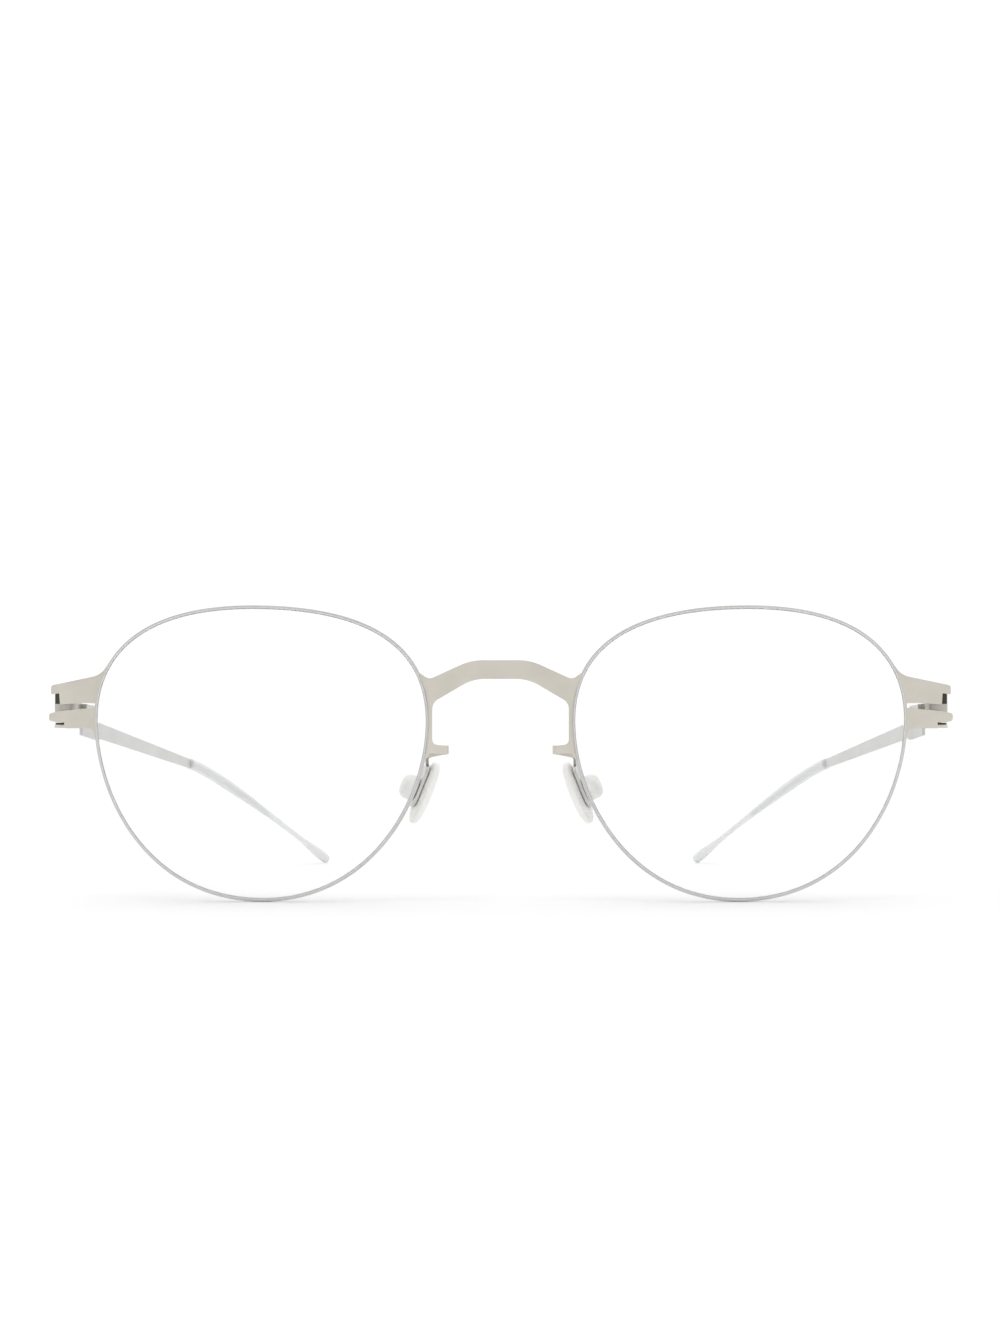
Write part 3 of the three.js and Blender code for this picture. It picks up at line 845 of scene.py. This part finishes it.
def roll():
    """The rolled front end: a spiral strip that stands upright round the hinge line, with a cut window."""
    steps = 96

    def turn(share, shift):
        angle = -2 * math.pi * ROLL_TURNS * share
        radius = ROLL_LINE_RADIUS - ROLL_PITCH * ROLL_TURNS * share + shift
        return Vector((radius * math.cos(angle), radius * math.sin(angle)))

    outer = [turn(i / steps, SHEET / 2) for i in range(steps + 1)]
    inner = [turn(i / steps, -SHEET / 2) for i in range(steps, -1, -1)]
    height = ROLL_TOP - ROLL_BOTTOM
    strip = flat_part([outer + inner], height)
    moved(strip, Matrix.Translation((0, 0, ROLL_BOTTOM + height / 2)))
    corners = [
        (-0.3, WINDOW_BOTTOM, 0.25),
        (2, WINDOW_BOTTOM, 0),
        (2, WINDOW_TOP, 0),
        (-0.3, WINDOW_TOP, 0.25),
    ]
    window = flat_part([softened(corners)], 1.5, 0.01)
    moved(window, Matrix.Translation((0, -1.55, 0)) @ Matrix.Rotation(math.pi / 2, 4, "X"))
    return combined(strip, [window], "DIFFERENCE")


def temple_sheet():
    """The flat strip behind the roll: a broad part, a step down, and the thin bar."""
    corners = [
        (-0.3, ROLL_BOTTOM, 0),
        (3.4, ROLL_BOTTOM, 0.8),
        (4.8, 25.6, 0.9),
        (13.2, 25.55, 0.15),
        (13.2, 24.5, 0.15),
        (21.8, 23.65, 0.9),
        (22.8, 24.05, 0.6),
        (METAL_END, BAR_BOTTOM, 0.12),
        (METAL_END, BAR_TOP, 0.12),
        (22.1, 26.53, 1.2),
        (21.8, 28.95, 0.9),
        (13.2, 29.35, 1.5),
        (9, 29.6, 2.5),
        (4.4, ROLL_TOP, 1.4),
        (-0.3, ROLL_TOP, 0),
    ]
    sheet = flat_part([softened(corners)], SHEET)
    return moved(sheet, Matrix.Translation((ROLL_LINE_RADIUS, 0, 0)) @ standing_on_x())


def stop_tongue():
    """A small tongue that is bent inwards from the strip."""
    inner, outer = ROLL_LINE_RADIUS - 1.05, ROLL_LINE_RADIUS + 0.1
    outline = [
        (inner, TONGUE_BOTTOM, 0.1),
        (outer, TONGUE_BOTTOM, 0),
        (outer, TONGUE_TOP, 0),
        (inner, TONGUE_TOP, 0.1),
    ]
    tongue = flat_part([softened(outline)], SHEET - 0.01)
    return moved(tongue, Matrix.Translation((0, TONGUE_PLACE, 0)) @ Matrix.Rotation(math.pi / 2, 4, "X"))


def bent_point(turn):
    """A point on the tip's bent line, from its start at 0 to its end at 1."""
    rest = 1 - turn
    return TIP_START * rest ** 2 + TIP_TURN * (2 * rest * turn) + TIP_END * turn ** 2


def length_table(steps=400):
    """The bent line's length up to each of its steps, as a share of the whole."""
    lengths = [0]
    for i in range(steps):
        lengths.append(lengths[-1] + (bent_point((i + 1) / steps) - bent_point(i / steps)).length)
    return [length / lengths[-1] for length in lengths]


TIP_LENGTHS = length_table()


def bent_frames(start, end, steps):
    """Middle, across and up vectors along the bent line of the tip, between two shares of its length."""
    frames = []
    for i in range(steps + 1):
        share = mix(start, end, i / max(steps, 1))
        place = min(max(bisect(TIP_LENGTHS, share) - 1, 0), len(TIP_LENGTHS) - 2)
        extra = (share - TIP_LENGTHS[place]) / (TIP_LENGTHS[place + 1] - TIP_LENGTHS[place])
        turn = (place + extra) / (len(TIP_LENGTHS) - 1)
        along = ((TIP_TURN - TIP_START) * (1 - turn) + (TIP_END - TIP_TURN) * turn).normalized()
        across = Vector((along.y, -along.x, 0)).normalized()
        frames.append((share, bent_point(turn), across, across.cross(along)))
    return frames


def bent_loft(start, end, steps, section):
    """Rings round the bent line, each with the section for its place."""
    rings = []
    for share, middle, across, up in bent_frames(start, end, steps):
        rings.append([middle + across * right + up * rise for right, rise in section(share)])
    return rings


def core_section(share, room=0.0, steps=4):
    return rounded_box(CORE_THICKNESS + room, 0.95 - 0.75 * share + room, 0.08, steps)


def core():
    """The thin end of the strip, which the sleeve covers."""
    rings = bent_loft(0, CORE_SHARE, 30, core_section)
    inside_bar = [point + Vector((0, -0.5, 0.05)) for point in rings[0]]
    return loft([inside_bar, *rings])


def sleeve_radius(share):
    body = mix(MOUTH_RADIUS, NECK_RADIUS, smoothstep(share, SLIM_FROM, SLIM_TO))
    bulb = BULB_SWELLING * math.exp(-(((share - BULB_SHARE) / BULB_SPREAD) ** 2))
    return body + bulb


def sleeve_section(share, shrink=1.0):
    return [(point.x, point.y) for point in circle(0, 0, sleeve_radius(share) * shrink, 32)]


def temple_paint(face):
    """The coat of a face: 2, near-black painted shade, in the roll, 1, painted shade, on the roll and
    tongue, or 0, grey, with painted shade and reflection, elsewhere.
    """
    if in_roll(face) or in_window(face):
        return 2
    place = temple_place().inverted() @ face.calc_center_median()
    on_roll = math.hypot(place.x, place.y) < ROLL_LINE_RADIUS + 0.4
    on_tongue = abs(place.y - TONGUE_PLACE) < SHEET and place.x < ROLL_LINE_RADIUS - SHEET / 2 - 0.05
    return 1 if on_roll or on_tongue else 0


def build_temple(word, side, steels):
    """One temple: the flat strip with its roll, its tongue and its core."""
    temple = combined(temple_sheet(), [roll(), stop_tongue(), core()], "UNION")
    moved(temple, temple_place())
    name, body, node = f"temple_strip_{word}", f"{word}_temple", f"temple_{word}"
    coats = [steels["grey"], steels["rolled"], steels["painted_shade"]]
    finished(temple, name, body, node, coats, side, paint=temple_paint)
    steadied(temple)


def build_tip(word, side, plastic):
    """The skin runs out of the bore, round the mouth and along the sleeve to its closed end."""
    bore_end = CORE_SHARE + 0.01
    bore = bent_loft(bore_end, SLEEVE_MOUTH, 30, lambda share: core_section(share, BORE_ROOM, 7))
    mouth = bent_loft(SLEEVE_MOUTH, SLEEVE_MOUTH, 0, lambda share: sleeve_section(share, 0.93))
    skin = bent_loft(SLEEVE_START, SLEEVE_END, 70, sleeve_section)
    cap = []
    for i in range(1, 7):
        angle = math.pi / 2 * i / 6.3
        share = SLEEVE_END + CAP_SHARE * math.sin(angle)
        cap += bent_loft(share, share, 0, lambda place: sleeve_section(place, math.cos(angle)))
    tip = moved(loft(bore + mouth + skin + cap), temple_place())
    name, body, node = f"tip_sleeve_{word}", f"{word}_temple", f"temple_tip_{word}"
    finished(tip, name, body, node, [plastic], side, 50)


# The stage, the light and the camera.

def build_floor():
    """A wide pale floor, just under the rims."""
    work = bmesh.new()
    bmesh.ops.create_grid(work, x_segments=8, y_segments=8, size=30)
    mesh = bpy.data.meshes.new("floor")
    work.to_mesh(mesh)
    work.free()
    nodes = Nodes("pale_floor")
    cloud = nodes.noise(12)
    nodes.color(cloud, (0.898, 0.898, 0.898), (0.904, 0.904, 0.904))
    nodes.shader.inputs["Roughness"].default_value = 0.8
    nodes.shader.inputs["Specular IOR Level"].default_value = 0.1
    mesh.materials.append(nodes.material)
    floor = object_from(mesh, "floor")
    floor.location.z = -0.02 * MM


def build_light():
    """A white studio, a little darker on the camera's side and towards -X, and a broad lamp overhead."""
    world = bpy.data.worlds.new("studio")
    world.use_nodes = True
    tree = world.node_tree
    background = tree.nodes["Background"]
    background.inputs["Color"].default_value = (1, 1, 1, 1)
    direction = tree.nodes.new("ShaderNodeTexCoord")
    parts = tree.nodes.new("ShaderNodeSeparateXYZ")
    fall = tree.nodes.new("ShaderNodeMapRange")
    fall.interpolation_type = "SMOOTHSTEP"
    fall.inputs["From Min"].default_value = -0.8
    fall.inputs["From Max"].default_value = 0.2
    fall.inputs["To Max"].default_value = BACKDROP_LIGHT
    across = tree.nodes.new("ShaderNodeMapRange")
    across.inputs["From Min"].default_value = -0.6
    across.inputs["From Max"].default_value = 0.1
    across.inputs["To Min"].default_value = LEFT_LIGHT
    across.inputs["To Max"].default_value = FRONT_LIGHT
    tree.links.new(direction.outputs["Generated"], parts.inputs["Vector"])
    tree.links.new(parts.outputs["X"], across.inputs["Value"])
    tree.links.new(across.outputs["Result"], fall.inputs["To Min"])
    tree.links.new(parts.outputs["Y"], fall.inputs["Value"])
    tree.links.new(fall.outputs["Result"], background.inputs["Strength"])
    bpy.context.scene.world = world
    lamp = bpy.data.lights.new("overhead", "SUN")
    lamp.angle = math.radians(50)
    lamp.energy = 0.5
    holder = object_from(lamp, "overhead")
    holder.rotation_euler = (math.radians(12), math.radians(-10), 0)


def build_camera():
    """In front of the glasses and level with their middle, a little towards +X."""
    camera = bpy.data.cameras.new("camera")
    camera.sensor_width = 36
    camera.lens = 100.3
    camera.shift_x = -CAMERA_SIDE / CAMERA_DISTANCE * camera.lens / camera.sensor_width
    camera.shift_y = 0.0247
    camera.clip_start = 0.01
    camera.clip_end = 100
    holder = object_from(camera, "camera")
    holder.location = Vector((PICTURE_MIDDLE + CAMERA_SIDE, BRIDGE_Y * MM - CAMERA_DISTANCE, CAMERA_HEIGHT))
    holder.rotation_euler = (math.pi / 2, 0, 0)
    bpy.context.scene.camera = holder


build_camera()
build_floor()
build_light()
bpy.context.scene.view_settings.view_transform = "Standard"
metals = steels()
clear = lens_plastic()
ground = ground_edge()
rubber = silicone()
plastic = sleeve_plastic()
build_front(metals)
for word, side in SIDES.items():
    build_lens(word, side, clear, ground)
    build_nose_pad(word, side, rubber)
    build_temple(word, side, metals)
    build_tip(word, side, plastic)
